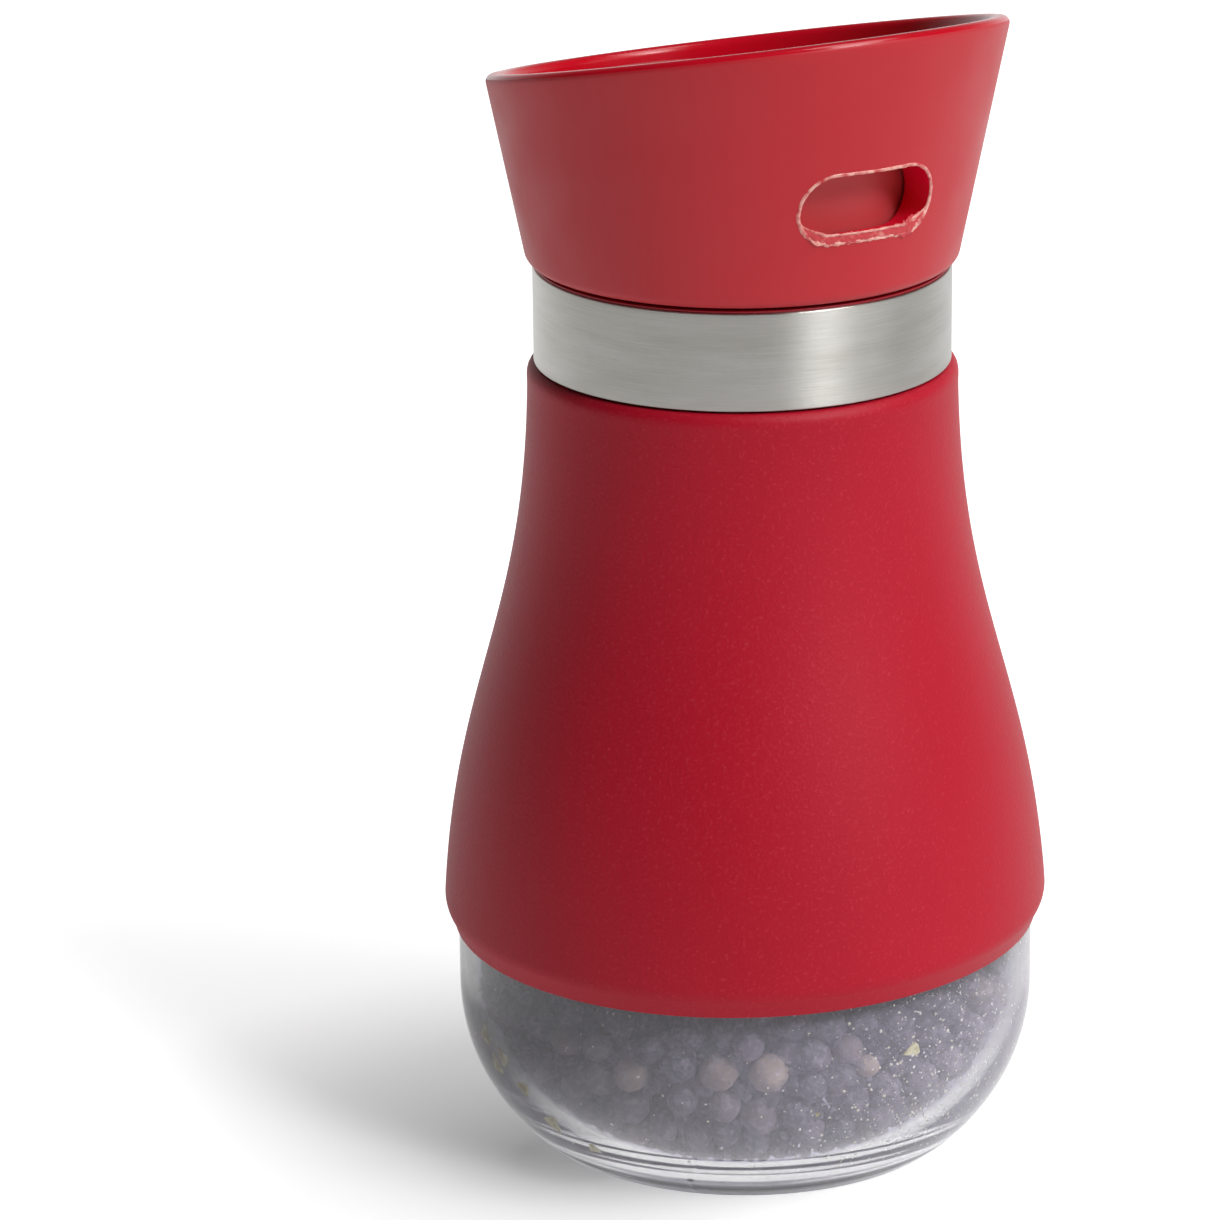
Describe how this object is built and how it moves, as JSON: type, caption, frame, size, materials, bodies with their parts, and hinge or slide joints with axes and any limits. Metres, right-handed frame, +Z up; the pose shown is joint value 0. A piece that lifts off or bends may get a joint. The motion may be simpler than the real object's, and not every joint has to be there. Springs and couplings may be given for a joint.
{
  "type": "spice shaker",
  "caption": "Glass spice shaker with a soft red sleeve, a steel band and a flared red cap that turns over a cup to close, sprinkle or pour through a side window.",
  "frame": {"origin": "centre of the jar's foot, on the surface that it stands on", "axes": "+Z up the jar's axis to the cap; the cap's window and the high side of its slanted rim face -Y; +X to the right seen from the window side"},
  "size_m": [0.0682, 0.0682, 0.1312],
  "materials": {
    "clear_glass": "clear, fire-polished",
    "pepper": "dry wrinkled peppercorns",
    "soft_red": "soft-touch matte",
    "seal_silicone": "translucent silicone",
    "lid_red": "moulded",
    "brushed_band": "brushed round the ring",
    "cup_red": "moulded, dull",
    "cap_red": "satin gloss"
  },
  "bodies": {
    "jar": {"glass_jar": "clear_glass", "peppercorns": "pepper", "body_sleeve": "soft_red"},
    "seal": {"mouth_gasket": "seal_silicone"},
    "lid": {"threaded_collar": "lid_red", "steel_band": "brushed_band", "dispensing_cup": "cup_red", "cup_top_plate": "cup_red"},
    "cap": {"outer_cap": "cap_red"}
  },
  "joints": [
    {"name": "lid_rise", "type": "slide", "parent": "jar", "child": "seal", "axis": [0, 0, 1], "range_m": [0, 0.012]},
    {"name": "lid_turn", "type": "hinge", "parent": "seal", "child": "lid", "pos_m": [0, 0, 0.09985], "axis": [0, 0, 1], "range_deg": [0, 1080]},
    {"name": "cap_turn", "type": "hinge", "parent": "lid", "child": "cap", "pos_m": [0, 0, 0.10165], "axis": [0, 0, 1], "continuous": true}
  ],
  "couplings": [
    {"joint": "lid_rise", "follows": "lid_turn", "m_per_rad": 0.00063661}
  ]
}
